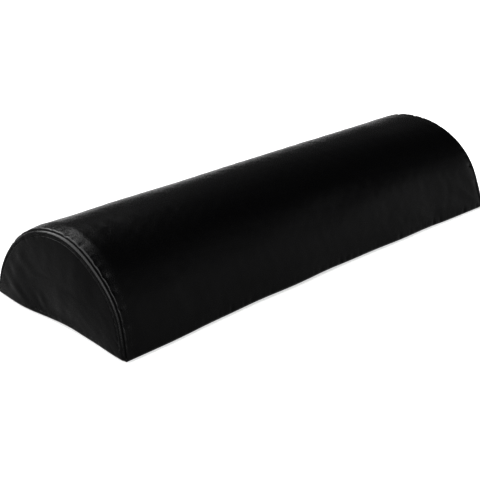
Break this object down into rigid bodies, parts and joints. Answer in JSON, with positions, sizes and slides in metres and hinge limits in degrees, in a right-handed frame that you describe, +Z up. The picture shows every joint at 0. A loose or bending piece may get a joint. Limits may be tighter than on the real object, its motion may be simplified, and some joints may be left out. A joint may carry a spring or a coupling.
{
  "type": "half-round massage bolster pillow",
  "caption": "Half-round bolster pillow: firm foam with a soft top layer in a sewn black vinyl cover with a flat base and a zip recessed under it.",
  "frame": {"origin": "on the floor under the middle of the bolster's base", "axes": "+X along the bolster, from its left end to its right end; -Y towards its front; +Z up through the crown"},
  "size_m": [0.66, 0.228, 0.11],
  "materials": {
    "cover_vinyl": "satin",
    "thread": "matte",
    "zip_tape": "matte",
    "zip_coil": "satin",
    "zip_metal": "satin",
    "zip_slider_paint": "satin",
    "liner": "matte",
    "soft_foam": "matte",
    "firm_foam": "matte"
  },
  "bodies": {
    "root": {"wall_panel": "cover_vinyl", "end_panel_left": "cover_vinyl", "end_panel_right": "cover_vinyl", "base_panel_front": "cover_vinyl", "base_panel_rear": "cover_vinyl", "zip_end_tab_left": "cover_vinyl", "zip_end_tab_right": "cover_vinyl", "end_seam_thread_left": "thread", "end_seam_thread_right": "thread", "base_seam_thread_front": "thread", "base_seam_thread_rear": "thread", "base_join_thread": "thread", "zip_topstitch_front": "thread", "zip_topstitch_rear": "thread", "zip_tape_front": "zip_tape", "zip_tape_rear": "zip_tape", "zip_coil_front": "zip_coil", "zip_coil_rear": "zip_coil", "zip_top_stops": "zip_metal", "zip_bottom_stop": "zip_metal", "core_liner": "liner", "foam_topper": "soft_foam", "foam_core": "firm_foam"},
    "slider": {"zip_slider": "zip_slider_paint"},
    "pull": {"zip_pull": "zip_slider_paint"}
  },
  "joints": [
    {"name": "zip_slide", "type": "slide", "parent": "root", "child": "slider", "axis": [1, 0, 0], "range_m": [0, 0.544]},
    {"name": "pull_flip", "type": "hinge", "parent": "slider", "child": "pull", "pos_m": [-0.271, 0, 0.0017], "axis": [0, 1, 0], "range_deg": [0, 180]}
  ]
}
